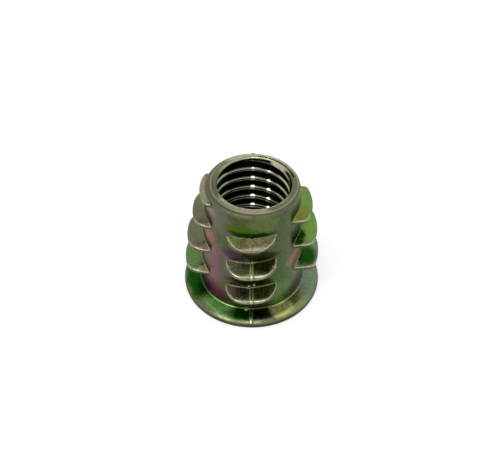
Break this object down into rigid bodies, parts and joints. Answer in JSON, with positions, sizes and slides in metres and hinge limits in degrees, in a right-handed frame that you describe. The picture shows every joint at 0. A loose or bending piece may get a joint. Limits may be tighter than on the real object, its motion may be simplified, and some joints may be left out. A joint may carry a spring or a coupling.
{
  "type": "threaded insert",
  "caption": "Flanged screw-in threaded insert for wood: tapered body with staggered knife-edged fins, a threaded bore and a hexagon drive socket in the flange.",
  "frame": {"origin": "centre of the flange's outer face, on the insert's axis", "axes": "+Z along the axis from the flange to the tip; the fins on the casting's parting line face -Y and +Y"},
  "size_m": [0.0138, 0.0138, 0.0132],
  "materials": {
    "chromated_zinc": "glossy iridescent chromate"
  },
  "bodies": {
    "root": {"insert": "chromated_zinc"}
  },
  "joints": []
}
